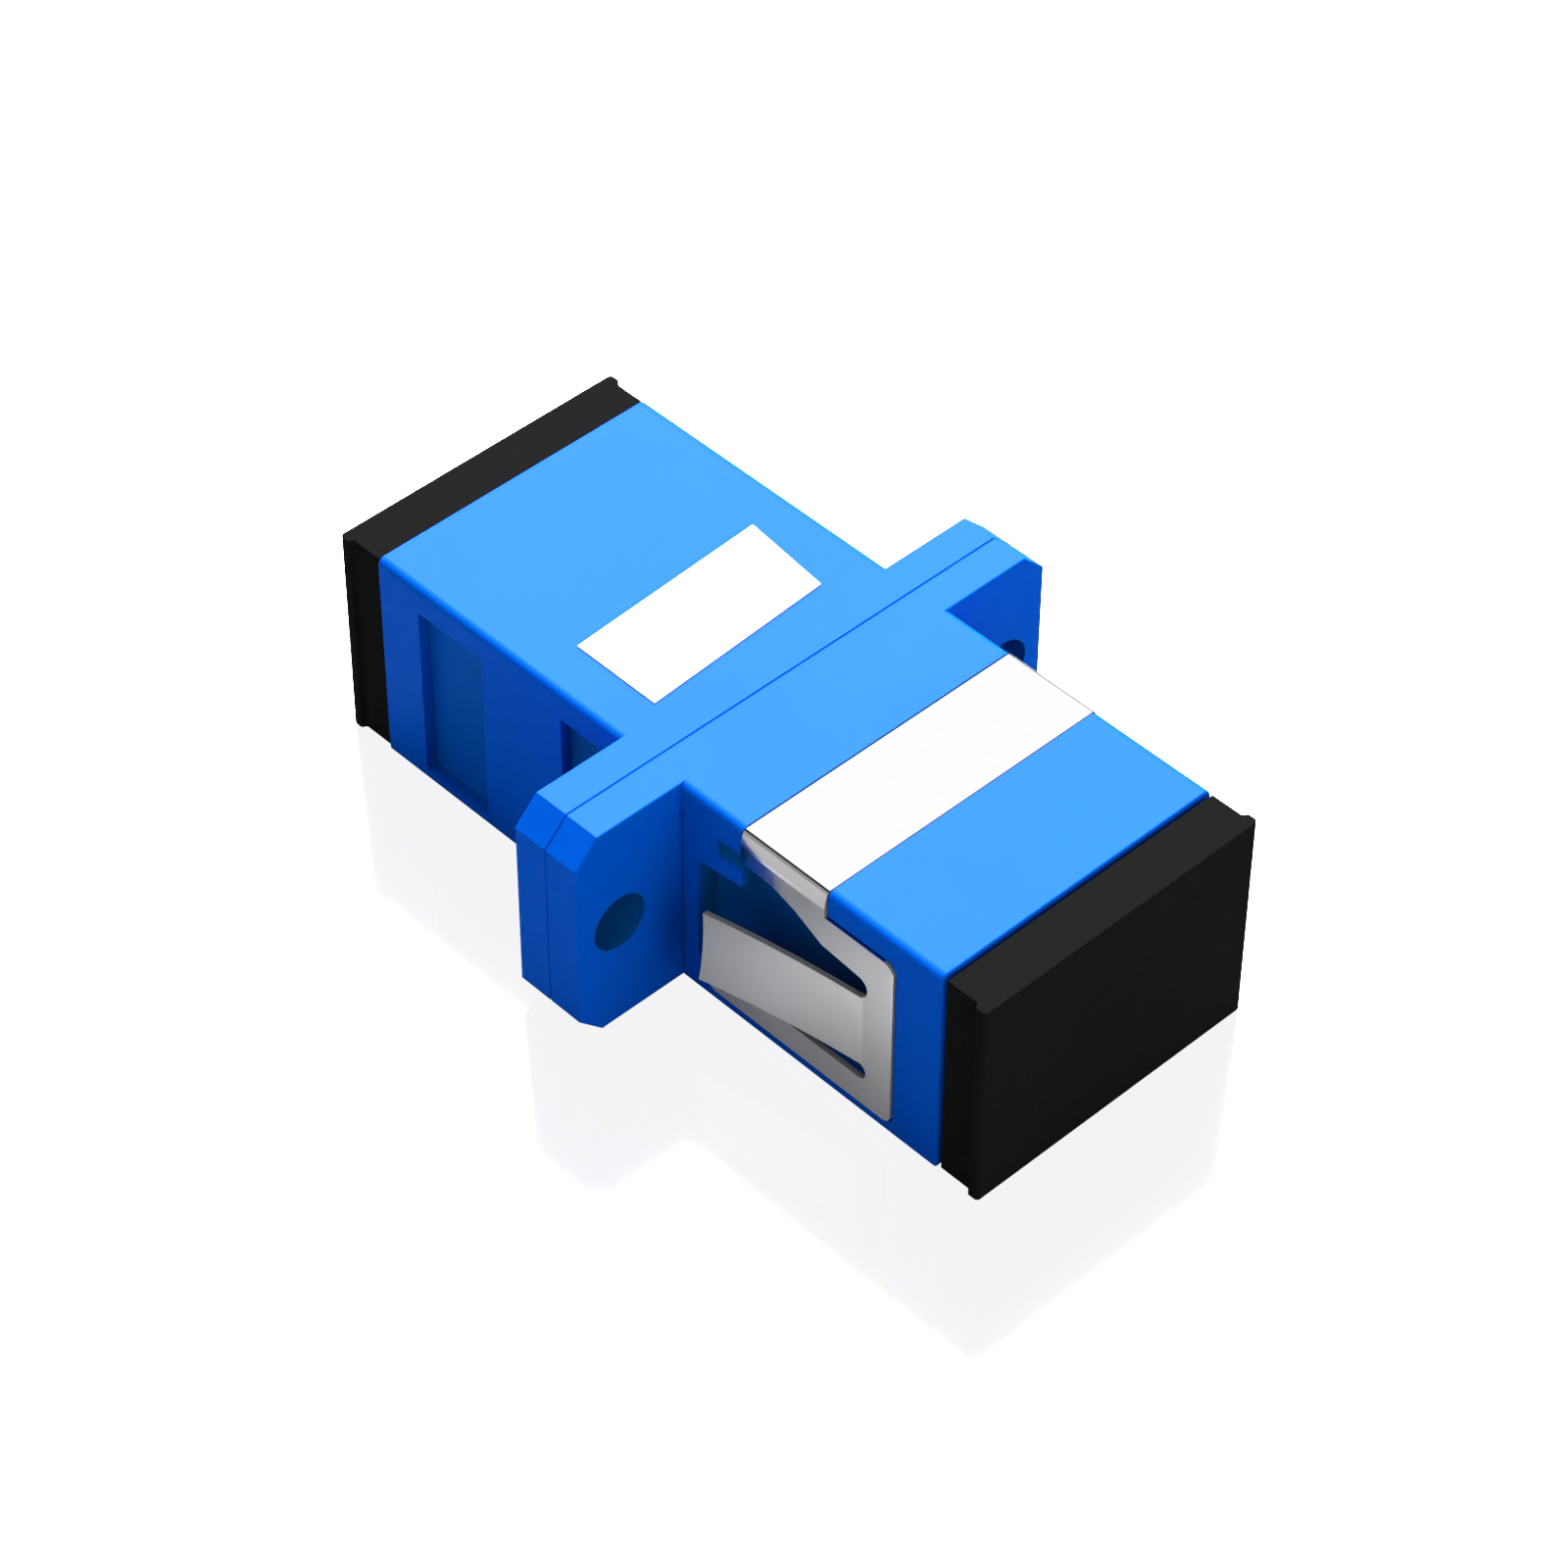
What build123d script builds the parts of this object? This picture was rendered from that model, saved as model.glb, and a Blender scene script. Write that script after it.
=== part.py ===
from build123d import *
import math
import os

# Fibre optic attenuator of the flanged coupling kind: two moulded housing halves joined at a
# flange, a folded steel spring clip, two latch inserts round a split sleeve, and a dust cap
# in each port.
# All lengths are in millimetres and all angles in degrees.
# X is the optical axis, towards the end that passes through a panel. Y is the width of the
# flange and Z is up. The origin is on the optical axis, in the seam between the two halves.

# Housing body and flange
body_width = 12.8
body_height = 9.25
front_length = 13.96
rear_length = 14.16
body_edge_round = 0.32
body_lower_round = 0.14
body_end_round = 0.08
flange_half_thickness = 1.525
flange_corner = 1.0
flange_edge_round = 0.06
seam_bevel = 0.05
hole_pitch = 18.54
hole_radius = 1.14
hole_to_flange_end = 1.905

# Port for a push-pull plug
port_width = 9.1
port_height = 7.5
port_corner = 0.35
port_lead_in = 0.3
keyway_width = 2.3
keyway_length = 5.2

# Latch insert
seat_clearance = 0.05
insert_width = 10.2
insert_height = 7.9
insert_corner = 0.6
insert_plate = 1.2
barrel_radius = 2.35
barrel_length = 6.4
barrel_bevel = 0.3
sleeve_play = 0.1
lip_length = 0.5
lip_radius = 1.36
hook_gap = 6.7
hook_thickness = 0.8
hook_width = 3.4
hook_length = 7.8
barb_height = 0.55
barb_length = 1.5
barb_ramp = 0.9
hook_root_round = 0.3

# Split sleeve and the ring that sets the loss
sleeve_bore_radius = 1.245
sleeve_wall = 0.355
sleeve_length = 11.4
sleeve_slot = 0.5
ring_play = 0.01
ring_bore_radius = 0.65
ring_thickness = 0.33

# Spring clip, folded from strip
clip_sheet = 0.2
clip_proud = 0.1
clip_strap_start = 4.58
clip_strap_width = 4.03
clip_strap_drop = 0.02
clip_bend_round = 0.21
clip_least_round = 0.01
clip_bend_turn = 70
clip_side_round = 1.8
clip_play = 0.05
plate_end = 11.85
plate_start = 2.9
plate_top = 3.5
plate_bottom = -4.08
plate_upper_corner = 0.45
plate_lower_corner = 0.35
arm_bottom = 3.15
arm_step = 6.1
arm_bow = 7.17
arm_bow_height = 2.81
arm_knee = 8.5
arm_knee_height = 2.14
upper_slot_top = 1.96
lower_slot_bottom = -2.86
slot_end = 10.68
tang_top = 1.05
tang_bottom = -2.27
tang_root_bottom = -2.14
tang_root = 10.3
tang_overlap = 0.2
tang_tip = 3.65
tang_flare = 1.2
tang_sag = 0.1
tang_end = 3.9
tang_end_round = 18
tang_end_height = 0.4

# Recesses in the sides of the housing
clip_floor_gap = 0.02
pocket_start = 2.32
pocket_depth = 0.9
pocket_top = 1.58
pocket_bottom = -2.9
pocket_overlap = 0.07
mould_slope = 8.3
scoop_start = 3.3
scoop_bottom = 2.35
scoop_top = 3.25
scoop_depth = 0.45
relief_width = 0.12
relief_depth = 0.12
relief_top = 3.4
grip_depth = 0.48
grip_top = 3.42
grip_bottom = -4.22
grip_outer_end = 12.05
grip_outer_start = 8.7
grip_inner_end = 4.56

# Label on top of the rear half, cut slightly out of square
label_thickness = 0.06
label_centre_x = -4.16
label_centre_y = -0.08
label_width = 3.94
label_length = 8.57
label_lean = 3.1
label_near_cut = -0.4
label_far_cut = -6.3

# Dust caps
front_cap_gap = 0.17
rear_cap_gap = 0.04
cap_neck_width = 12.56
cap_rim_width = 12.95
cap_height = 9.06
cap_head = 1.9
cap_rim = 0.56
cap_rim_slant = 0.12
cap_rim_round = 0.15
cap_rim_inner_round = 0.08
cap_neck_round = 0.06
plug_play = 0.05
plug_length = 5.85
plug_wall = 0.95
plug_nose = 0.3
cap_skin = 0.9

# Sizes that follow from the ones above
body_side = body_width / 2
body_top = body_height / 2
flange_width = hole_pitch + 2 * hole_to_flange_end
clip_outer = body_side + clip_proud
clip_inner = clip_outer - clip_sheet
clip_floor = clip_inner - clip_floor_gap
strap_top = body_top - clip_strap_drop
strap_end = clip_strap_start + clip_strap_width
insert_seat = insert_plate + seat_clearance
sleeve_radius = sleeve_bore_radius + sleeve_wall
barrel_bore = sleeve_radius + sleeve_play
lip_start = sleeve_length / 2 + sleeve_play
barrel_end = max(barrel_length, lip_start + lip_length)


def block(x0, x1, y0, y1, z0, z1):
    """Plain block between two corners."""
    size = (x1 - x0, y1 - y0, z1 - z0)
    middle = ((x0 + x1) / 2, (y0 + y1) / 2, (z0 + z1) / 2)
    return Pos(*middle) * Box(*size)


def bar(x0, x1, width, height, corner=0):
    """Bar along X, centred on the optical axis, with rounded long corners."""
    outline = Rectangle(width, height)
    if corner:
        outline = fillet(outline.vertices(), corner)
    return Pos(x0, 0, 0) * extrude(Plane.YZ * outline, x1 - x0)


def rod(x0, x1, radius):
    """Round bar along X on the optical axis."""
    return Pos(x0, 0, 0) * extrude(Plane.YZ * Circle(radius), x1 - x0)


def both_sides(shape):
    """The shape and its mirror image across the XZ plane."""
    return shape + mirror(shape, Plane.XZ)


def end_edges(shape, x):
    """Edges that lie wholly in the plane at x."""
    return [e for e in shape.edges() if max(abs(e.bounding_box().min.X - x),
                                            abs(e.bounding_box().max.X - x)) < 1e-4]


def upright_edges(shape, x, half_width):
    """Edges along Z at a given x, on both sides of the optical axis."""
    return [e for e in shape.edges().filter_by(Axis.Z)
            if abs(e.center().X - x) < 1e-4 and abs(abs(e.center().Y) - half_width) < 1e-4]


def housing_shell(length):
    """Half of the body with its half of the flange, before its recesses, on the +X side."""
    body = block(0, length, -body_width / 2, body_width / 2, -body_height / 2, body_height / 2)
    long_edges = body.edges().filter_by(Axis.X).sort_by(Axis.Z)
    body = fillet(long_edges[2:], body_edge_round)
    long_edges = body.edges().filter_by(Axis.X).group_by(Axis.Z)
    body = fillet(long_edges[0], body_lower_round)
    body = fillet(end_edges(body, length), body_end_round)
    plate = chamfer(Rectangle(flange_width, body_height).vertices(), flange_corner)
    flange = extrude(Plane.YZ * plate, flange_half_thickness)
    flange = fillet(end_edges(flange, flange_half_thickness), flange_edge_round)
    flange = chamfer(end_edges(flange, 0), seam_bevel)
    shell = body.cut(block(0, seam_bevel, -body_width, body_width, -body_height, body_height))
    shell = shell + flange
    for side in (-1, 1):
        hole = Pos(0, side * hole_pitch / 2, 0) * rod(0, flange_half_thickness, hole_radius)
        shell = shell - hole
    return shell


def hollow_out(shell, port_end):
    """Port, its lead-in, the seat of the latch insert and the keyway in the bottom wall."""
    port = bar(0, port_end, port_width, port_height, port_corner)
    mouth = bar(port_end - port_lead_in, port_end, port_width + 2 * port_lead_in,
                port_height + 2 * port_lead_in, port_corner)
    inner = end_edges(mouth, port_end - port_lead_in)
    mouth = chamfer(inner, port_lead_in * 0.99)
    seat = bar(0, insert_seat, insert_width + 2 * seat_clearance,
               insert_height + 2 * seat_clearance, insert_corner)
    key = block(port_end - keyway_length, port_end, -keyway_width / 2, keyway_width / 2,
                -body_top, 0)
    return shell - port - mouth - seat - key


def hoop(start, end, inset):
    """Bar under the clip's strap, inset from its skin: tight bends, then sides that draw in."""
    turn = math.radians(clip_bend_turn)
    tight = max(clip_bend_round - inset, clip_least_round)
    wide = clip_side_round - inset
    side = clip_outer - inset
    top = strap_top - inset
    mid_y = side - wide + wide * math.sin(turn) - tight * math.sin(turn)
    mid_z = top - tight
    low = mid_z + tight * math.cos(turn) - wide * math.cos(turn)
    skin = []
    for middle_y, middle_z, radius, first, last in (
            (mid_y, mid_z, tight, 0, turn), (side - wide, low, wide, turn, math.pi / 2)):
        arc = [(middle_y + radius * math.sin(a), middle_z + radius * math.cos(a))
               for a in (first, (first + last) / 2, last)]
        skin.append(ThreePointArc(*arc))
    upright = Line((side, low), (side, 0))
    half = make_face([Line((0, 0), (0, top)), Line((0, top), (mid_y, top)), *skin, upright,
                      Line((side, 0), (0, 0))])
    outline = Pos(start, 0, 0) * extrude(Plane.YZ * half, end - start)
    return both_sides(outline)


def clip_seat():
    """Groove over the top and the recesses in both sides that take the spring clip."""
    start = clip_strap_start - clip_play
    end = strap_end + clip_play
    strap = block(start, end, -body_width, body_width, plate_top, body_height)
    strap = strap - hoop(start, end, clip_sheet + clip_floor_gap)
    plate = block(start, plate_end + clip_play, clip_floor, body_width,
                  plate_bottom - clip_play, plate_top + clip_play)
    for corner, height in ((plate_upper_corner, plate_top + clip_play),
                           (plate_lower_corner, plate_bottom - clip_play)):
        edge = [e for e in plate.edges().filter_by(Axis.Y)
                if abs(e.center().X - plate_end - clip_play) < 1e-4 and abs(e.center().Z - height) < 1e-4]
        plate = fillet(edge, corner)
    lower_arm = block(plate_start - clip_play, slot_end, clip_floor, body_width,
                      plate_bottom - clip_play, lower_slot_bottom + clip_play)
    pocket_under_strap = pocket_top + (start - pocket_start) * math.tan(math.radians(mould_slope))
    pocket_roof = arm_bottom + pocket_overlap
    pocket = Polyline((pocket_start, pocket_bottom), (slot_end, pocket_bottom),
                      (slot_end, pocket_roof), (start, pocket_roof),
                      (start, pocket_under_strap), (pocket_start, pocket_top),
                      (pocket_start, pocket_bottom))
    pocket = Pos(0, body_width, 0) * extrude(Plane.XZ * make_face(pocket),
                                             body_width - body_side + pocket_depth)
    ramp = Polyline((body_side, scoop_bottom), (body_side + 1, scoop_bottom),
                    (body_side + 1, scoop_top), (body_side - scoop_depth, scoop_top),
                    (body_side, scoop_bottom))
    scoop = Pos(scoop_start, 0, 0) * extrude(Plane.YZ * make_face(ramp), start - scoop_start)
    scoop = Rot(0, -mould_slope, 0) * Pos(-scoop_start, 0, -scoop_top) * scoop
    scoop = Pos(scoop_start, 0, scoop_top) * scoop
    scoop = scoop & block(scoop_start, start, 0, body_width, 0, body_height)
    relief = block(flange_half_thickness, flange_half_thickness + relief_width,
                   body_side - relief_depth, body_width, plate_bottom, relief_top)
    return strap + both_sides(plate + lower_arm + pocket + scoop + relief)


def grip_recesses():
    """Finger recesses in both sides of the rear half."""
    floor = body_side - grip_depth
    outer = block(-grip_outer_end, -grip_outer_start, floor, body_width, grip_bottom, grip_top)
    inner = block(-grip_inner_end, -flange_half_thickness, floor, body_width, grip_bottom, grip_top)
    return both_sides(outer) + both_sides(inner)


def front_housing():
    """Half that passes through the panel."""
    return hollow_out(housing_shell(front_length), front_length) - clip_seat()


def rear_housing():
    """Half that stays behind the panel."""
    return mirror(hollow_out(housing_shell(rear_length), rear_length), Plane.YZ) - grip_recesses()


def side_plate():
    """One side of the clip, as cut from the strip: an arm above and below the tang."""
    slot_mid = (tang_top + upper_slot_top) / 2
    slot_turn = slot_end - (upper_slot_top - tang_top) / 2
    low_mid = (tang_root_bottom + lower_slot_bottom) / 2
    low_turn = slot_end - (tang_root_bottom - lower_slot_bottom) / 2
    blank = Polyline(
        (clip_strap_start, plate_top), (plate_end, plate_top), (plate_end, plate_bottom),
        (plate_start, plate_bottom), (plate_start, lower_slot_bottom),
        (low_turn, lower_slot_bottom))
    low_end = ThreePointArc(
        (low_turn, lower_slot_bottom), (slot_end, low_mid), (low_turn, tang_root_bottom))
    root = Line((low_turn, tang_root_bottom), (tang_root, tang_root_bottom))
    cut = Line((tang_root, tang_root_bottom), (tang_root, tang_top))
    shelf = Line((tang_root, tang_top), (slot_turn, tang_top))
    high_end = ThreePointArc((slot_turn, tang_top), (slot_end, slot_mid), (slot_turn, upper_slot_top))
    edge = Polyline((slot_turn, upper_slot_top), (arm_knee, arm_knee_height),
                    (arm_bow, arm_bow_height), (arm_step, arm_bottom),
                    (clip_strap_start, arm_bottom), (clip_strap_start, plate_top))
    outline = make_face([blank, low_end, root, cut, shelf, high_end, edge])
    top_corner = [v for v in outline.vertices()
                  if abs(v.X - plate_end) < 1e-6 and abs(v.Y - plate_top) < 1e-6]
    outline = fillet(top_corner, plate_upper_corner)
    low_corners = [v for v in outline.vertices() if abs(v.Y - plate_bottom) < 1e-6]
    outline = fillet(low_corners, plate_lower_corner)
    return Pos(0, -clip_inner, 0) * extrude(Plane.XZ * outline, clip_sheet)


def tang():
    """Sprung tongue that flares outwards from the plate towards the flange."""
    mid_x = (tang_root + tang_tip) / 2
    mid_y = -clip_outer - tang_flare / 2 + tang_sag
    outer = ThreePointArc((tang_root + tang_overlap, -clip_outer), (mid_x, mid_y),
                          (tang_tip, -clip_outer - tang_flare))
    inner = Pos(0, clip_sheet) * outer
    tip = Line(outer @ 1, inner @ 1)
    root = Line(inner @ 0, outer @ 0)
    profile = make_face([outer, tip, inner, root])
    tongue = Pos(0, 0, tang_bottom) * extrude(profile, tang_top - tang_bottom)
    side = Polyline((tang_root + tang_overlap, tang_top), (tang_tip, tang_top), (tang_tip, tang_bottom),
                    (tang_root, tang_root_bottom), (tang_root + tang_overlap, tang_root_bottom),
                    (tang_root + tang_overlap, tang_top))
    tongue = tongue & extrude(Plane.XZ * make_face(side), body_width)
    hollow = Cylinder(tang_end_round, 2 * body_width, rotation=(90, 0, 0))
    return tongue - Pos(tang_end - tang_end_round, -clip_outer, tang_end_height) * hollow


def spring_clip():
    """Strap over the top with a side plate and a tang each side, folded from one strip."""
    strap = hoop(clip_strap_start, strap_end, 0) - hoop(clip_strap_start, strap_end, clip_sheet)
    strap = strap & block(clip_strap_start, strap_end, -body_width, body_width,
                          plate_top - clip_sheet, body_height)
    flare = block(clip_strap_start, strap_end, -clip_outer, -clip_inner,
                  plate_top - clip_sheet, plate_top)
    side = side_plate()
    strap = strap.cut(both_sides(flare)) + both_sides(side)
    return strap + both_sides(tang())


def latch_insert():
    """Plate with the sleeve barrel and the two latch hooks, on the +X side."""
    plate = bar(0, insert_plate, insert_width, insert_height, insert_corner)
    barrel = rod(0, barrel_end, barrel_radius)
    barrel = chamfer(end_edges(barrel, barrel_end), barrel_bevel)
    hook_in = hook_gap / 2
    hook_out = hook_in + hook_thickness
    barb_start = hook_length - barb_length
    arm = Polyline(
        (insert_plate / 2, hook_in), (barb_start, hook_in), (barb_start, hook_in - barb_height),
        (hook_length - barb_ramp, hook_in - barb_height), (hook_length, hook_in),
        (hook_length, hook_out), (insert_plate / 2, hook_out), (insert_plate / 2, hook_in))
    hook = Pos(0, 0, -hook_width / 2) * extrude(make_face(arm), hook_width)
    rib = block(insert_plate / 2, insert_plate + hook_root_round, hook_out - hook_thickness / 2,
                hook_out, -hook_width / 2, hook_width / 2)
    body = plate + barrel + both_sides(hook + rib)
    body = body - rod(0, lip_start, barrel_bore)
    return body - rod(lip_start, barrel_end, lip_radius)


def split_sleeve():
    """Ceramic sleeve with its slot upwards."""
    tube = rod(-sleeve_length / 2, sleeve_length / 2, sleeve_radius)
    tube = tube - rod(-sleeve_length / 2, sleeve_length / 2, sleeve_bore_radius)
    slot = block(-sleeve_length / 2, sleeve_length / 2, -sleeve_slot / 2, sleeve_slot / 2,
                 0, 2 * sleeve_radius)
    return tube - slot


def attenuating_spacer():
    """Ring that holds the two fibre ends a set distance apart."""
    ring = rod(-ring_thickness / 2, ring_thickness / 2, sleeve_bore_radius - ring_play)
    return ring - rod(-ring_thickness / 2, ring_thickness / 2, ring_bore_radius)


def rating_label():
    """Blank label on top of the rear half."""
    half_w = label_width / 2
    half_l = label_length / 2
    lean = Vector(0, 1).rotate(Axis.Z, label_lean)
    near = Vector(1, 0).rotate(Axis.Z, label_near_cut)
    far = Vector(1, 0).rotate(Axis.Z, label_far_cut)
    corners = [
        lean * -half_l - near * half_w, lean * -half_l + near * half_w,
        lean * half_l + far * half_w, lean * half_l - far * half_w]
    outline = Polyline(*[(c.X, c.Y) for c in corners], (corners[0].X, corners[0].Y))
    sheet = extrude(make_face(outline), label_thickness)
    return Pos(label_centre_x, label_centre_y, body_top) * sheet


def dust_cap(seat):
    """Hollow plug with a neck and a rim to pull it by, its neck starting at the seat."""
    half_neck = cap_neck_width / 2
    half_rim = cap_rim_width / 2
    cap_face = seat + cap_head
    cap_rim_start = cap_face - cap_rim
    rim_shoulder = cap_rim_start + cap_rim_slant
    plug_end = seat - plug_length
    plan = Polyline(
        (seat, -half_neck), (cap_rim_start, -half_neck), (rim_shoulder, -half_rim),
        (cap_face, -half_rim), (cap_face, half_rim), (rim_shoulder, half_rim),
        (cap_rim_start, half_neck), (seat, half_neck), (seat, -half_neck))
    head = Pos(0, 0, -cap_height / 2) * extrude(make_face(plan), cap_height)
    head = fillet(upright_edges(head, cap_rim_start, half_neck), cap_neck_round)
    head = fillet(upright_edges(head, rim_shoulder, half_rim), cap_rim_inner_round)
    head = fillet(upright_edges(head, cap_face, half_rim), cap_rim_round)
    plug_w = port_width - 2 * plug_play
    plug_h = port_height - 2 * plug_play
    plug = bar(plug_end, seat, plug_w, plug_h, port_corner)
    plug = chamfer(end_edges(plug, plug_end), plug_nose)
    hollow = bar(plug_end, cap_face - cap_skin, plug_w - 2 * plug_wall, plug_h - 2 * plug_wall,
                 port_corner)
    return head + plug - hollow


def save(name, shape):
    """Write one node and print its size."""
    solids = shape.solids()
    box = shape.bounding_box()
    print(name, len(solids), "solid,", round(shape.volume, 3), "mm3,",
          [round(v, 3) for v in (box.min.X, box.max.X, box.min.Y, box.max.Y, box.min.Z, box.max.Z)])
    export_step(shape, "parts/" + name + ".step")


os.makedirs("parts", exist_ok=True)
save("front_housing", front_housing())
save("rear_housing", rear_housing())
save("spring_clip", spring_clip())
save("front_latch_insert", latch_insert())
save("rear_latch_insert", mirror(latch_insert(), Plane.YZ))
save("split_sleeve", split_sleeve())
save("attenuating_spacer", attenuating_spacer())
save("rating_label", rating_label())
save("front_dust_cap", dust_cap(front_length + front_cap_gap))
save("rear_dust_cap", mirror(dust_cap(rear_length + rear_cap_gap), Plane.YZ))
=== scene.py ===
# %% [markdown]
# # A fibre optic attenuator, dressed for the camera
#
# The object is a small in-line coupling. Two blue moulded halves meet at a flange, a strip of
# bright steel is folded over the front half, and a black cap closes the port at each end.
# Its solids come from a CAD model as a fixed frame. This lesson gives them their finishes, rounds
# the edges that a tool would leave razor sharp, and sets up the table, the light and the camera.
# Everything is in metres. X runs along the optical axis, Y along the flange and Z is up.

# %% Load the frame
import math

import bpy
from mathutils import Matrix, Vector


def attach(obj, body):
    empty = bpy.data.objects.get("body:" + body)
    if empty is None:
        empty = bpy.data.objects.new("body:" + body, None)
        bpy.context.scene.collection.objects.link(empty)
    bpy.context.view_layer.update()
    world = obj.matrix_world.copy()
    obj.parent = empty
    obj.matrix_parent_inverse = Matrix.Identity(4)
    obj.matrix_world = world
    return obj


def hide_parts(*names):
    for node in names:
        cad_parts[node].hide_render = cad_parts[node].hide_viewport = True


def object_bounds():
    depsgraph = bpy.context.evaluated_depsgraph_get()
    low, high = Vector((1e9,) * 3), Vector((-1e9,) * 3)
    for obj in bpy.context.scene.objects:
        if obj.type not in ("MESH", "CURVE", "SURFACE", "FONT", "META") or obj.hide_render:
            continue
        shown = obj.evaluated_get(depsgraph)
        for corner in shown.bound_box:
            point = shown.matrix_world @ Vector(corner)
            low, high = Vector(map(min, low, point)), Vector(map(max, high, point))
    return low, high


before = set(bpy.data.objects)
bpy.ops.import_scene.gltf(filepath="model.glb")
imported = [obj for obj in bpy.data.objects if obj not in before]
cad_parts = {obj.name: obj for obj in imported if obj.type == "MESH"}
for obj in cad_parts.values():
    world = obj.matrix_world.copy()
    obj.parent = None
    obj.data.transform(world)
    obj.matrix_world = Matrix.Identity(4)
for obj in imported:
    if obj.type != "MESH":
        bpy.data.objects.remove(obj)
cad_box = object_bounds()
MM = 0.001
print("nodes:", sorted(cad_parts))
print("size in mm:", [round((b - a) / MM, 2) for a, b in zip(*cad_box)])

# %% [markdown]
# ## The camera
#
# The photograph looks down at about 44 degrees, from the side of the spring clip and a little
# towards the front end. The long edges hardly draw together, which means a long lens from close
# by. A camera could be aimed with a constraint, but a matrix written from the three angles is
# shorter and never depends on another object.

# %% Set the camera
turn = math.radians(46.04)
tilt = math.radians(44.09)
roll = math.radians(0.36)
camera_place = Vector((92.383, -89.177, 123.666)) * MM
back = Vector((math.sin(turn) * math.cos(tilt), -math.cos(turn) * math.cos(tilt), math.sin(tilt)))
right = Vector((0, 0, 1)).cross(back).normalized()
up = back.cross(right)
right_rolled = math.cos(roll) * right + math.sin(roll) * up
up_rolled = -math.sin(roll) * right + math.cos(roll) * up

lens = bpy.data.cameras.new("lens")
lens.sensor_width = 36
lens.lens = 116.87
lens.clip_start = 0.01
lens.clip_end = 20
camera = bpy.data.objects.new("camera", lens)
bpy.context.scene.collection.objects.link(camera)
pose = Matrix((right_rolled, up_rolled, back)).transposed().to_4x4()
pose.translation = camera_place
camera.matrix_world = pose
bpy.context.scene.camera = camera
print("camera is", round(camera_place.length / MM, 1), "mm from the optical axis")

# %% [markdown]
# ## The table
#
# The object lies on a white sheet that shows no shadow and only a faint mirror image. A white
# diffuse sheet under a lamp would show a soft shadow, so three kinds of ray see three sheets. A
# small function makes that switch, because the room behind needs the same one.

# %% Lay the table
table_height = cad_box[0][2]
table_gap = 0.02 * MM
bpy.ops.mesh.primitive_plane_add(size=6, location=(0, 0, table_height - table_gap))
table = bpy.context.object
table.name = "table"
print("table top at", round(table_height / MM, 3), "mm")


# %% Write the switch for three kinds of ray
def by_ray(nodes, links, for_camera, for_mirrors, for_others):
    """Socket of the shader that goes with the kind of ray."""
    seen = nodes.new("ShaderNodeLightPath")
    bounced = nodes.new("ShaderNodeMixShader")
    either = nodes.new("ShaderNodeMixShader")
    links.new(seen.outputs["Is Glossy Ray"], bounced.inputs["Fac"])
    links.new(for_others, bounced.inputs[1])
    links.new(for_mirrors, bounced.inputs[2])
    links.new(seen.outputs["Is Camera Ray"], either.inputs["Fac"])
    links.new(bounced.outputs[0], either.inputs[1])
    links.new(for_camera, either.inputs[2])
    return either.outputs[0]


print("rays told apart: camera, mirrored, other")

# %% [markdown]
# The camera sees the sheet as an even white with a weak gloss over it. The light that falls on the
# undersides comes from a plain grey sheet. What the steel and the blue plastic mirror is lighter
# close to the object, so that its own shadow doesn't turn the side plates of the clip black. It is
# darker farther out, where the lamps reach the sheet and the slanting arms of the clip would
# mirror pure white.

# %% Make the sheet
near_grey, far_grey = 0.6, 0.19
fade_start, fade_end = 11.5 * MM, 16 * MM
sheet = bpy.data.materials.new("white_sheet")
sheet.use_nodes = True
nodes, links = sheet.node_tree.nodes, sheet.node_tree.links
nodes.clear()
out = nodes.new("ShaderNodeOutputMaterial")
grey = nodes.new("ShaderNodeBsdfDiffuse")
grey.inputs["Color"].default_value = (0.26, 0.26, 0.26, 1)
white = nodes.new("ShaderNodeEmission")
white.inputs["Strength"].default_value = 0.985
mirror_coat = nodes.new("ShaderNodeBsdfGlossy")
mirror_coat.inputs["Roughness"].default_value = 0.06
under_coat = nodes.new("ShaderNodeMixShader")
under_coat.inputs["Fac"].default_value = 0.09
links.new(white.outputs[0], under_coat.inputs[1])
links.new(mirror_coat.outputs[0], under_coat.inputs[2])

where = nodes.new("ShaderNodeTexCoord")
parts = nodes.new("ShaderNodeSeparateXYZ")
aside = nodes.new("ShaderNodeMath")
aside.operation = "ABSOLUTE"
fade = nodes.new("ShaderNodeMapRange")
fade.inputs["From Min"].default_value = fade_start
fade.inputs["From Max"].default_value = fade_end
fade.inputs["To Min"].default_value = near_grey
fade.inputs["To Max"].default_value = far_grey
mirrored = nodes.new("ShaderNodeBsdfDiffuse")
links.new(where.outputs["Object"], parts.inputs[0])
links.new(parts.outputs["Y"], aside.inputs[0])
links.new(aside.outputs[0], fade.inputs["Value"])
links.new(fade.outputs["Result"], mirrored.inputs["Color"])
picked = by_ray(nodes, links, under_coat.outputs[0], mirrored.outputs[0], grey.outputs[0])
links.new(picked, out.inputs["Surface"])
table.data.materials.append(sheet)
print("sheet nodes:", len(nodes))

# %% [markdown]
# ## The light
#
# The top of the object is four to five times as bright as its sides, and the bevels between them
# are hardly brighter than the sides. So most of the light comes from a soft box behind the object,
# which the bevels on the near side don't face. A weaker box hangs overhead, and a weak one lights
# the front end.
#
# A pale veil lies over the blue top, because it mirrors a bright place behind the object. The veil
# lamp shows in reflections alone. So the blue can be made almost without gloss, and it stays deep
# on its sides.

# %% Hang the lamps
veil_place = (-0.33, 0.31, 0.54)
veil_size = 0.56


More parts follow.
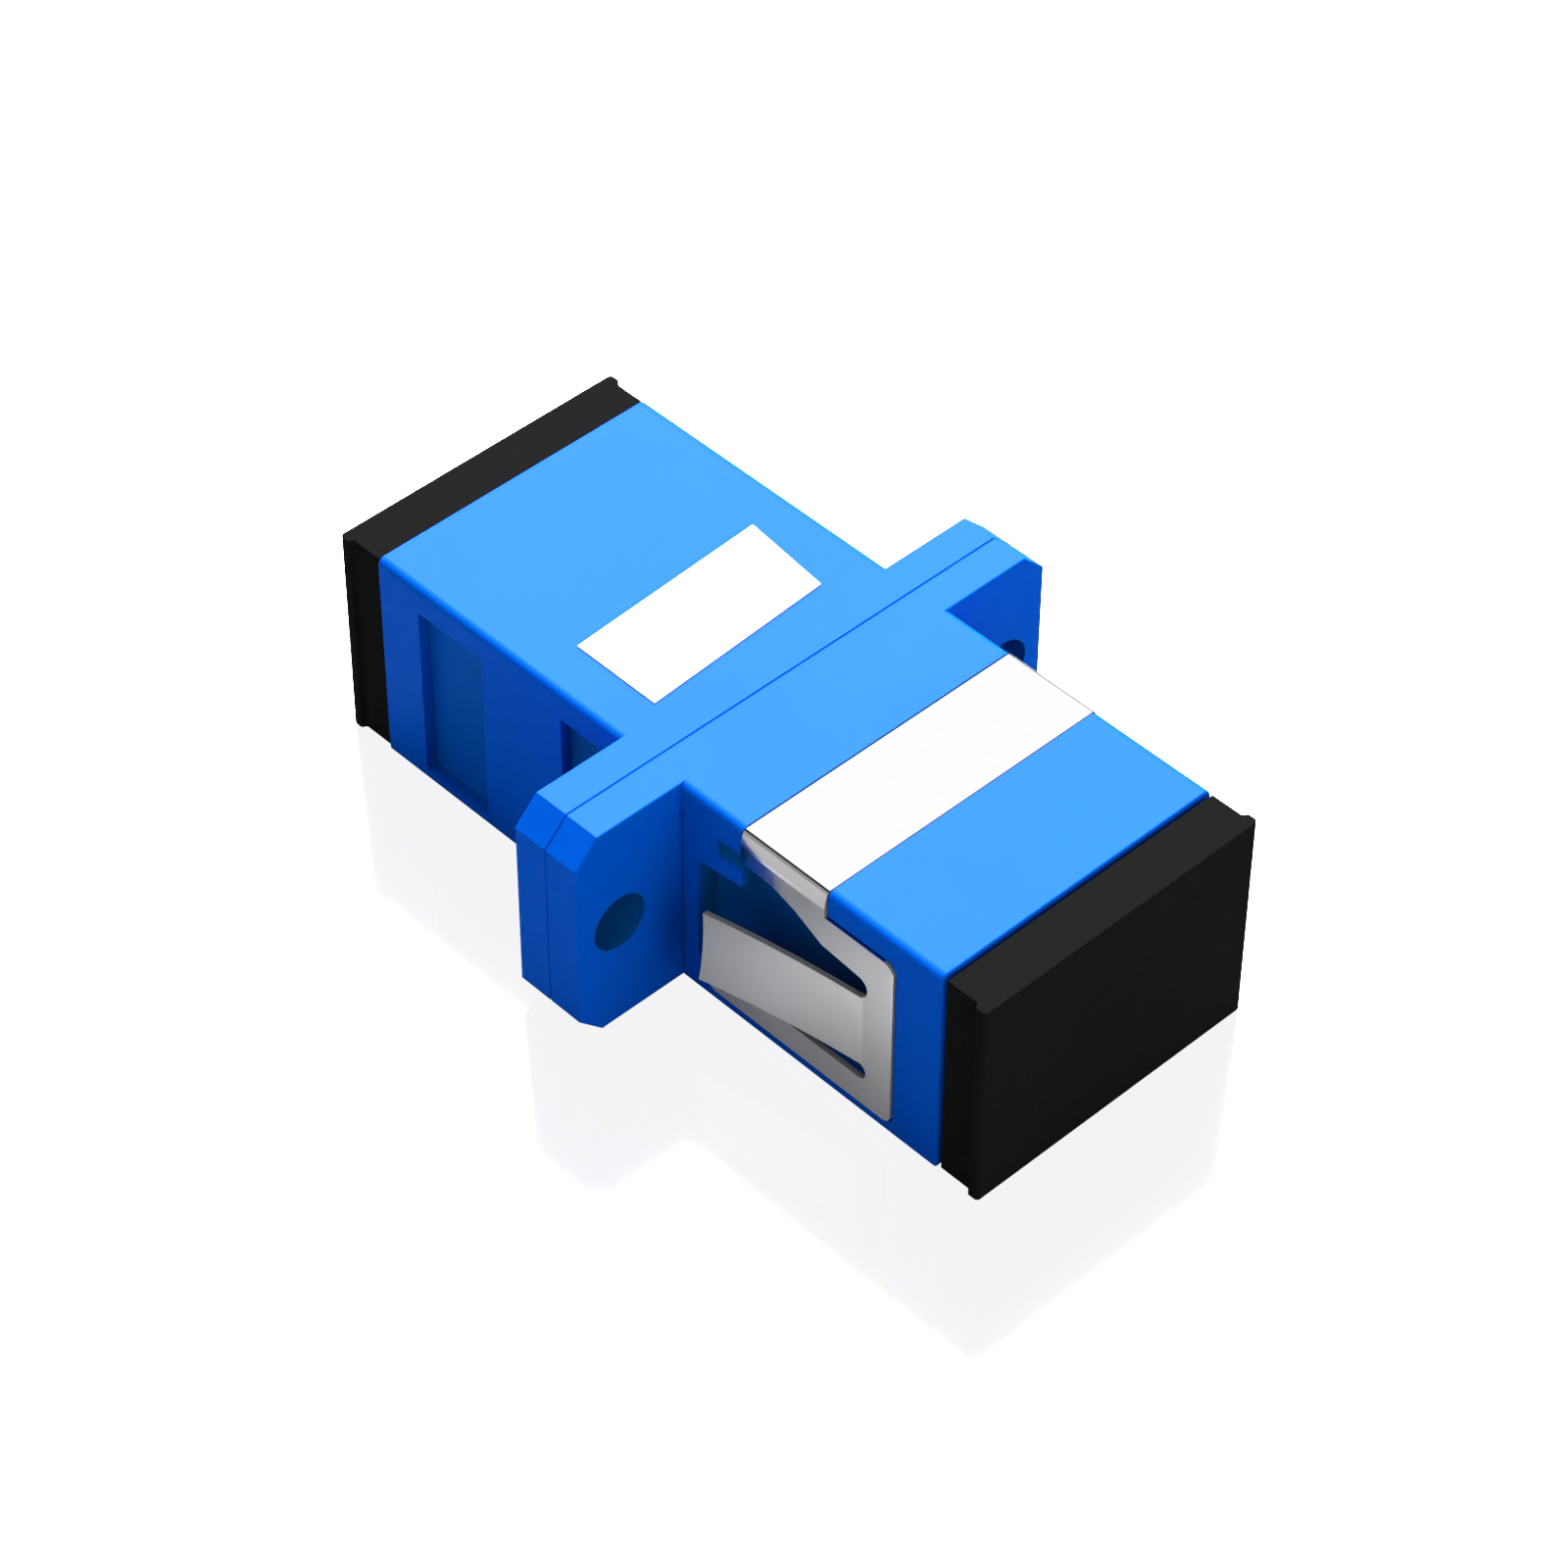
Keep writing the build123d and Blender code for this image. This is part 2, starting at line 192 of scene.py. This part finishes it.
def soft_box(name, place, size, watts):
    """Square area lamp that looks at the object."""
    lamp = bpy.data.lights.new(name, "AREA")
    lamp.shape = "SQUARE"
    lamp.size = size
    lamp.energy = watts
    holder = bpy.data.objects.new(name, lamp)
    bpy.context.scene.collection.objects.link(holder)
    holder.location = place
    holder.rotation_euler = Vector(place).to_track_quat("Z", "Y").to_euler()
    return holder


overhead = soft_box("overhead_box", (-0.14, 0.21, 0.555), 0.3, 4)
behind = soft_box("behind_box", (-0.36, 0.36, 0.46), 0.32, 23.2)
behind.visible_glossy = False
veil = soft_box("veil_box", veil_place, veil_size, 106)
veil.visible_diffuse = False
front = soft_box("front_box", (0.62, -0.02, 0.24), 0.4, 1.9)
print("lamps:", overhead.name, behind.name, veil.name, front.name)

# %% [markdown]
# A dark card hangs beside the veil lamp, on the side of the camera. It too is there for
# reflections alone, and draws the thin dark line where the strap of the clip bends down.

# %% Hang the dark card
card = bpy.data.materials.new("dark_card")
card.use_nodes = True
card.node_tree.nodes["Principled BSDF"].inputs["Base Color"].default_value = (0.02, 0.02, 0.02, 1)
bpy.ops.mesh.primitive_plane_add(size=1, location=(-0.3, -0.16, 0.42))
flag = bpy.context.object
flag.name = "dark_card"
flag.scale = (0.45, 0.34, 1)
flag.visible_camera = False
flag.visible_diffuse = False
flag.visible_shadow = False
flag.data.materials.append(card)
print("card is", flag.scale[0], "by", flag.scale[1], "m")

# %% [markdown]
# The room is white behind the object, as in the photograph. The light that it sheds is dimmer, and
# what shows of it in reflections is dimmer still. The colours are shown as they are, without a
# film curve, or the white could not come out as pure white.

# %% Set the room
room = bpy.data.worlds.new("room")
bpy.context.scene.world = room
room.use_nodes = True
nodes, links = room.node_tree.nodes, room.node_tree.links
nodes.clear()
tones = {"seen": (1, 1, 1, 1), "mirrored": (0.5, 0.5, 0.5, 1), "shed": (0.65, 0.65, 0.66, 1)}
shades = {}
for use, tone in tones.items():
    shades[use] = nodes.new("ShaderNodeBackground")
    shades[use].inputs["Color"].default_value = tone
picked = by_ray(nodes, links, *(shades[use].outputs[0] for use in ("seen", "mirrored", "shed")))
links.new(picked, nodes.new("ShaderNodeOutputWorld").inputs["Surface"])
bpy.context.scene.view_settings.view_transform = "Standard"
print("room tones:", {use: tone[0] for use, tone in tones.items()})

# %% [markdown]
# ## A moulded finish, shared by every plastic piece
#
# Injection moulds for such parts are spark eroded, which leaves a very fine, even grain. The
# colour of the plastic drifts a little where it flowed, and the gloss drifts with it. The blue
# housing, the black caps, the inserts and the ring all have this effect at other strengths, so
# it is one node group with named inputs, and each material sets its own values.

# %% Build the moulded grain group
def new_group(name, inputs, outputs):
    """Shader node group with float, colour and vector sockets by name."""
    group = bpy.data.node_groups.new(name, "ShaderNodeTree")
    for label, kind, value in inputs:
        socket = group.interface.new_socket(name=label, in_out="INPUT", socket_type=kind)
        socket.default_value = value
    for label, kind in outputs:
        group.interface.new_socket(name=label, in_out="OUTPUT", socket_type=kind)
    return group


grain = new_group(
    "moulded_grain",
    [("Colour", "NodeSocketColor", (0.5, 0.5, 0.5, 1)),
     ("Drift", "NodeSocketFloat", 0.05),
     ("Gloss", "NodeSocketFloat", 0.4),
     ("Gloss drift", "NodeSocketFloat", 0.08),
     ("Grain size", "NodeSocketFloat", 9000.0)],
    [("Colour", "NodeSocketColor"), ("Roughness", "NodeSocketFloat"), ("Height", "NodeSocketFloat")])
nodes, links = grain.nodes, grain.links
inside = nodes.new("NodeGroupInput")
result = nodes.new("NodeGroupOutput")
where = nodes.new("ShaderNodeTexCoord")
flow = nodes.new("ShaderNodeTexNoise")
flow.inputs["Scale"].default_value = 160
flow.inputs["Detail"].default_value = 3
fine = nodes.new("ShaderNodeTexNoise")
fine.inputs["Detail"].default_value = 2
shade = nodes.new("ShaderNodeMapRange")
shade.inputs["From Min"].default_value = 0.3
shade.inputs["From Max"].default_value = 0.7
darker = nodes.new("ShaderNodeMath")
darker.operation = "SUBTRACT"
darker.inputs[0].default_value = 1
tint = nodes.new("ShaderNodeVectorMath")
tint.operation = "SCALE"
spread = nodes.new("ShaderNodeMath")
spread.operation = "MULTIPLY_ADD"
links.new(where.outputs["Object"], flow.inputs["Vector"])
links.new(where.outputs["Object"], fine.inputs["Vector"])
links.new(inside.outputs["Grain size"], fine.inputs["Scale"])
links.new(flow.outputs["Fac"], shade.inputs["Value"])
links.new(inside.outputs["Drift"], darker.inputs[1])
links.new(darker.outputs[0], shade.inputs["To Min"])
links.new(inside.outputs["Colour"], tint.inputs[0])
links.new(shade.outputs["Result"], tint.inputs["Scale"])
links.new(tint.outputs[0], result.inputs["Colour"])
links.new(fine.outputs["Fac"], spread.inputs[0])
links.new(inside.outputs["Gloss drift"], spread.inputs[1])
links.new(inside.outputs["Gloss"], spread.inputs[2])
links.new(spread.outputs[0], result.inputs["Roughness"])
links.new(fine.outputs["Fac"], result.inputs["Height"])
print("group sockets:", [s.name for s in grain.interface.items_tree])

# %% [markdown]
# ## The plastics
#
# The blue of a single-mode coupling is a strong, slightly cyan blue. The caps are a soft black
# plastic with hardly any gloss, and a rough diffuse surface that looks flat from every side. A
# helper makes a material round the shared group, and the shader keeps what is the same all over,
# such as how much it reflects.

# %% Make the plastic materials
def plastic(name, colour, drift, gloss, gloss_drift, grain_size, bump, specular):
    """Moulded plastic with the shared grain."""
    material = bpy.data.materials.new(name)
    material.use_nodes = True
    nodes, links = material.node_tree.nodes, material.node_tree.links
    shader = nodes["Principled BSDF"]
    shader.inputs["Specular IOR Level"].default_value = specular
    finish = nodes.new("ShaderNodeGroup")
    finish.node_tree = grain
    finish.inputs["Colour"].default_value = (*colour, 1)
    finish.inputs["Drift"].default_value = drift
    finish.inputs["Gloss"].default_value = gloss
    finish.inputs["Gloss drift"].default_value = gloss_drift
    finish.inputs["Grain size"].default_value = grain_size
    relief = nodes.new("ShaderNodeBump")
    relief.inputs["Strength"].default_value = bump
    relief.inputs["Distance"].default_value = 0.01 * MM
    links.new(finish.outputs["Colour"], shader.inputs["Base Color"])
    links.new(finish.outputs["Roughness"], shader.inputs["Roughness"])
    links.new(finish.outputs["Height"], relief.inputs["Height"])
    links.new(relief.outputs[0], shader.inputs["Normal"])
    return material


blue = (0.0001, 0.07, 0.465)
black = (0.0078, 0.0078, 0.0078)
milky = (0.7, 0.7, 0.66)
blue_plastic = plastic("blue_housing_plastic", blue, 0.06, 0.34, 0.1, 9000, 0.25, 0.005)
black_plastic = plastic("black_cap_plastic", black, 0.1, 0.7, 0.12, 12000, 0.35, 0.002)
ring_plastic = plastic("pale_ring_plastic", milky, 0.04, 0.4, 0.08, 9000, 0.2, 0.4)
cap_shader = black_plastic.node_tree.nodes["Principled BSDF"]
cap_shader.inputs["Diffuse Roughness"].default_value = 1
print("plastics:", blue_plastic.name, black_plastic.name, ring_plastic.name)

# %% [markdown]
# ## Darker recesses
#
# The recesses in the sides, the ports and the screw holes get painted shade: a deeper colour than
# the outside, which stands in for the little light that finds its way out of them. Two small
# functions write the sums and the soft steps that such a mask is made of.

# %% Write the helpers of the mask
def math_node(nodes, links, kind, first, second=None):
    """Math node fed by sockets or numbers."""
    node = nodes.new("ShaderNodeMath")
    node.operation = kind
    for slot, value in enumerate((first, second)):
        if isinstance(value, bpy.types.NodeSocket):
            links.new(value, node.inputs[slot])
        elif value is not None:
            node.inputs[slot].default_value = value
    return node.outputs[0]


def ramp_node(nodes, links, value, low, high):
    """Smooth step from one at low to nought at high, both in millimetres."""
    node = nodes.new("ShaderNodeMapRange")
    node.interpolation_type = "SMOOTHSTEP"
    node.inputs["From Min"].default_value = low * MM
    node.inputs["From Max"].default_value = high * MM
    node.inputs["To Min"].default_value = 1
    node.inputs["To Max"].default_value = 0
    links.new(value, node.inputs["Value"])
    return node.outputs["Result"]


print("mask helpers:", math_node.__name__, ramp_node.__name__)

# %% [markdown]
# The distance from the middle plane tells how deep a point lies, because the sides are flat. The
# recesses behind the flange are shallow and so get less of the painted shade. Two more limits keep
# the top, the bottom and the end faces out.

# %% Mask the recesses and ports for painted shade
nodes, links = blue_plastic.node_tree.nodes, blue_plastic.node_tree.links
where = nodes.new("ShaderNodeTexCoord")
parts = nodes.new("ShaderNodeSeparateXYZ")
links.new(where.outputs["Object"], parts.inputs[0])
across, along, high = [math_node(nodes, links, "ABSOLUTE", parts.outputs[k]) for k in ("Y", "X", "Z")]
# How strongly the painted shade darkens the recesses in front of and behind the flange.
front_strength, rear_strength = 1.0, 0.45
front_half = ramp_node(nodes, links, parts.outputs["X"], -5, -8)
extra = math_node(nodes, links, "MULTIPLY", front_half, front_strength - rear_strength)
strength = math_node(nodes, links, "ADD", extra, rear_strength)
recess_shade = math_node(nodes, links, "MULTIPLY", ramp_node(nodes, links, across, 6, 6.385), strength)
for value, low, top in ((high, 4.25, 4.4), (along, 12.1, 12.4)):
    recess_shade = math_node(nodes, links, "MULTIPLY", recess_shade, ramp_node(nodes, links, value, low, top))
print("recess strength:", front_strength, "in front,", rear_strength, "behind")

# %% [markdown]
# The walls of the two screw holes are found by their radius. The shallow scoop beside the strap is
# a box: one ramp for its floor and one for each of its other limits. Both get the painted shade too.

# %% Mask the holes and the scoop
hole_place = 9.27 * MM
off_axis = math_node(nodes, links, "SUBTRACT", across, hole_place)
off_axis = math_node(nodes, links, "MULTIPLY", off_axis, off_axis)
radius = math_node(nodes, links, "ADD", off_axis, math_node(nodes, links, "MULTIPLY", high, high))
hole_shade = ramp_node(nodes, links, math_node(nodes, links, "SQRT", radius), 1.15, 1.19)
# The scoop mask marks where the painted shade darkens the shallow scoop beside the strap.
scoop = ramp_node(nodes, links, across, 6.3, 6.385)
scoop_limits = [
    (parts.outputs["X"], 2.6, 2.3),
    (along, 4.6, 4.7),
    (high, 2.5, 2.3),
    (high, 3.7, 3.9)]
for value, low, top in scoop_limits:
    scoop = math_node(nodes, links, "MULTIPLY", scoop, ramp_node(nodes, links, value, low, top))
print("scoop limits:", len(scoop_limits))

# %% Paint shade where the masks find the recesses, holes and scoop
painted_shade = math_node(nodes, links, "MAXIMUM", math_node(nodes, links, "MAXIMUM", recess_shade, hole_shade), scoop)
# The deep blue below is painted shade. It is mixed into the base colour where a mask finds a recess,
# a hole or the scoop.
shade_paint = nodes.new("ShaderNodeMix")
shade_paint.data_type = "RGBA"
shade_paint.inputs["B"].default_value = (0.0001, 0.062, 0.245, 1)
links.new(painted_shade, shade_paint.inputs["Factor"])
shader = nodes["Principled BSDF"]
links.new(shader.inputs["Base Color"].links[0].from_socket, shade_paint.inputs["A"])
links.new(shade_paint.outputs["Result"], shader.inputs["Base Color"])
print("blue nodes:", len(nodes))

# %% [markdown]
# ## Metal, paper and ceramic
#
# The clip, its torn edges, the label and the sleeve have one thing in common: tone, gloss and
# relief drift together, with one noise. So one function makes all four. It also hands back the
# noise, for a material that stretches it.

# %% Write the drifting material
def drifting(name, low, high, scale, detail, gloss, bump, bump_depth=0.01 * MM):
    """Material whose tone, gloss and relief drift with one noise."""
    material = bpy.data.materials.new(name)
    material.use_nodes = True
    nodes, links = material.node_tree.nodes, material.node_tree.links
    shader = nodes["Principled BSDF"]
    where = nodes.new("ShaderNodeTexCoord")
    noise = nodes.new("ShaderNodeTexNoise")
    noise.inputs["Scale"].default_value = scale
    noise.inputs["Detail"].default_value = detail
    tone = nodes.new("ShaderNodeValToRGB")
    tone.color_ramp.elements[0].color = (*low, 1)
    tone.color_ramp.elements[1].color = (*high, 1)
    polish = nodes.new("ShaderNodeMapRange")
    polish.inputs["To Min"].default_value = gloss[0]
    polish.inputs["To Max"].default_value = gloss[1]
    links.new(where.outputs["Object"], noise.inputs["Vector"])
    links.new(noise.outputs["Fac"], tone.inputs["Fac"])
    links.new(noise.outputs["Fac"], polish.inputs["Value"])
    links.new(tone.outputs["Color"], shader.inputs["Base Color"])
    links.new(polish.outputs["Result"], shader.inputs["Roughness"])
    if bump:
        relief = nodes.new("ShaderNodeBump")
        relief.inputs["Strength"].default_value = bump
        relief.inputs["Distance"].default_value = bump_depth
        links.new(noise.outputs["Fac"], relief.inputs["Height"])
        links.new(relief.outputs[0], shader.inputs["Normal"])
    return material, shader, noise


print("maker:", drifting.__name__)

# %% [markdown]
# The clip is cut from a bright rolled strip. Rolling leaves faint lines along the strip, which
# runs over the top and down the sides, so the lines run along Y on the strap and along Z on the
# side plates. Noise that is stretched in the plane of the strip does both at once: it is
# squeezed along X and left long in the other two directions.

# %% Make the steel
dark_steel, light_steel = (0.53, 0.53, 0.535), (0.575, 0.575, 0.575)
steel, shader, lines = drifting(
    "bright_rolled_steel", dark_steel, light_steel, 1, 4, (0.1, 0.16), 0.03, 0.005 * MM)
shader.inputs["Metallic"].default_value = 1
nodes, links = steel.node_tree.nodes, steel.node_tree.links
stretch = nodes.new("ShaderNodeMapping")
stretch.inputs["Scale"].default_value = (26000, 700, 700)
links.new(lines.inputs["Vector"].links[0].from_socket, stretch.inputs["Vector"])
links.new(stretch.outputs[0], lines.inputs["Vector"])
print("steel nodes:", len(nodes))

# %% [markdown]
# A punch cuts through part of the sheet and tears through the rest, so the narrow faces of the
# clip are grey and dull. They are made almost without gloss, or the edges that face up would
# mirror the lamps as white lines.

# %% Make the torn edge
sheared, shader, tear = drifting(
    "sheared_steel_edge", (0.13, 0.13, 0.13), (0.19, 0.19, 0.19), 16000, 2, (0.5, 0.65), 0)
shader.inputs["Specular IOR Level"].default_value = 0.02
print("torn edge noise scale:", tear.inputs["Scale"].default_value)

# %% [markdown]
# The label is a matt white sticker, left blank. Paper is never quite even, so a little fibre
# noise moves its tone and its surface. The sleeve that lines up the fibres is polished white
# zirconia, which is nearly a mirror over a milky body.

# %% Make the label and sleeve materials
paper = drifting(
    "matt_label_paper", (0.82, 0.82, 0.82), (0.92, 0.92, 0.92), 4000, 5, (0.7, 0.85), 0.2)[0]
ceramic = drifting(
    "polished_zirconia", (0.86, 0.85, 0.81), (0.9, 0.89, 0.86), 900, 5, (0.08, 0.16), 0.03)[0]
print("whites:", paper.name, ceramic.name)

# %% [markdown]
# ## Dress the nodes
#
# The CAD nodes keep their meshes. Each one only gets its material in its first slot. The clip
# comes after this, as a piece of its own.

# %% Assign the materials
dress = {
    "front_housing": blue_plastic, "rear_housing": blue_plastic,
    "front_latch_insert": blue_plastic, "rear_latch_insert": blue_plastic,
    "split_sleeve": ceramic, "attenuating_spacer": ring_plastic, "rating_label": paper,
    "front_dust_cap": black_plastic, "rear_dust_cap": black_plastic}
for node, material in dress.items():
    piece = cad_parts[node]
    if not piece.material_slots:
        piece.data.materials.append(material)
    for slot in piece.material_slots:
        slot.material = material
print("dressed:", len(dress), "nodes")

# %% [markdown]
# ## Edges of the clip that catch the light
#
# A punched strip has rolled-over edges, and they show as thin bright lines, because the round
# mirrors another part of the room than the faces beside it. The CAD leaves these edges sharp, so a
# copy of the node is cleaned up: its loose triangles are merged, and flat areas become one face
# again.

# %% Merge a copy of the clip
merge_within = 0.0005 * MM
flat_within = math.radians(0.05)
sharp_from = math.radians(60)
bpy.ops.object.select_all(action="DESELECT")
clip = bpy.data.objects.new("rounded_clip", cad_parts["spring_clip"].data.copy())
bpy.context.scene.collection.objects.link(clip)
clip.select_set(True)
bpy.context.view_layer.objects.active = clip
bpy.ops.object.mode_set(mode="EDIT")
bpy.ops.mesh.select_all(action="SELECT")
bpy.ops.mesh.remove_doubles(threshold=merge_within)
bpy.ops.mesh.dissolve_limited(angle_limit=flat_within)
bpy.ops.mesh.select_all(action="DESELECT")
bpy.ops.mesh.select_mode(type="EDGE")
bpy.ops.mesh.edges_select_sharp(sharpness=sharp_from)
bpy.ops.object.mode_set(mode="OBJECT")
bpy.ops.object.shade_smooth_by_angle(angle=math.radians(40))
print("clip faces:", len(clip.data.polygons))

# %% [markdown]
# Only the sharp edges on the outer side that run round the outline of a side plate are rounded:
# at the front end, at the tip of the tang and along the bottom. The slots are left as they are,
# because a bevel would fold over itself in the tight curves at the root of the tang. Each chosen
# edge gets a bevel weight of one, and the modifier works by that weight.

# %% Round its outline
plate_face, arm_foot = 6.4 * MM, 3.2 * MM
front_from, tip_to, bottom_to = 11.3 * MM, 3.95 * MM, -3.9 * MM
weights = clip.data.attributes.new("bevel_weight_edge", "FLOAT", "EDGE")
for edge in clip.data.edges:
    ends = [clip.data.vertices[v].co for v in edge.vertices]
    middle = (ends[0] + ends[1]) / 2
    outside = abs(middle.y) > plate_face and middle.z < arm_foot
    outline = middle.x > front_from or middle.x < tip_to or middle.z < bottom_to
    weights.data[edge.index].value = float(edge.select and outside and outline)
rounding = clip.modifiers.new("rounding", "BEVEL")
rounding.width = 0.035 * MM
rounding.segments = 2
rounding.limit_method = "WEIGHT"
rounding.use_clamp_overlap = False
rounding.harden_normals = True
rounding.material = 0
print("rounded edges:", sum(1 for w in weights.data if w.value > 0))

# %% [markdown]
# A torn face is one that looks along the strip's width: along X all over, and up or down on the
# side plates. Only the strap and its bends are shaded smooth, since the side plates are flat and
# their slots would pull the shading askew.

# %% Finish its faces and let it stand for the node
plate_top, bend_from = 3.5 * MM, 3.45 * MM
clip.data.materials.clear()
clip.data.materials.append(steel)
clip.data.materials.append(sheared)
for face in clip.data.polygons:
    across_strap = abs(face.normal.x) > 0.7
    across_plate = face.center.z < plate_top and abs(face.normal.y) < 0.5
    face.material_index = int(across_strap or across_plate)
    face.use_smooth = face.center.z > bend_from
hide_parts("spring_clip")
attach(clip, "housing")
print("torn faces:", sum(1 for face in clip.data.polygons if face.material_index))

# %% [markdown]
# ## A softer lamp for the steel
#
# The veil lamp is strong, since the blue plastic has next to no gloss. In the steel strap it would
# mirror far beyond white, and the edges of the strap would look torn. So the clip is taken off the
# lists of the two lamps that shine into it from above. A weak lamp of the same size, at the same
# place, lights the clip alone, and the strap comes out just short of pure white.

# %% Link the lamps
strap_lamp = soft_box("strap_box", veil_place, veil_size, 1.27)
strap_lamp.visible_diffuse = False
all_but_clip = bpy.data.collections.new("all_but_clip")
all_but_clip.objects.link(clip)
all_but_clip.collection_objects[0].light_linking.link_state = "EXCLUDE"
only_clip = bpy.data.collections.new("only_clip")
only_clip.objects.link(clip)
for lamp, receivers in ((veil, all_but_clip), (overhead, all_but_clip), (strap_lamp, only_clip)):
    lamp.light_linking.receiver_collection = receivers
    print(lamp.name, "lights", receivers.name)
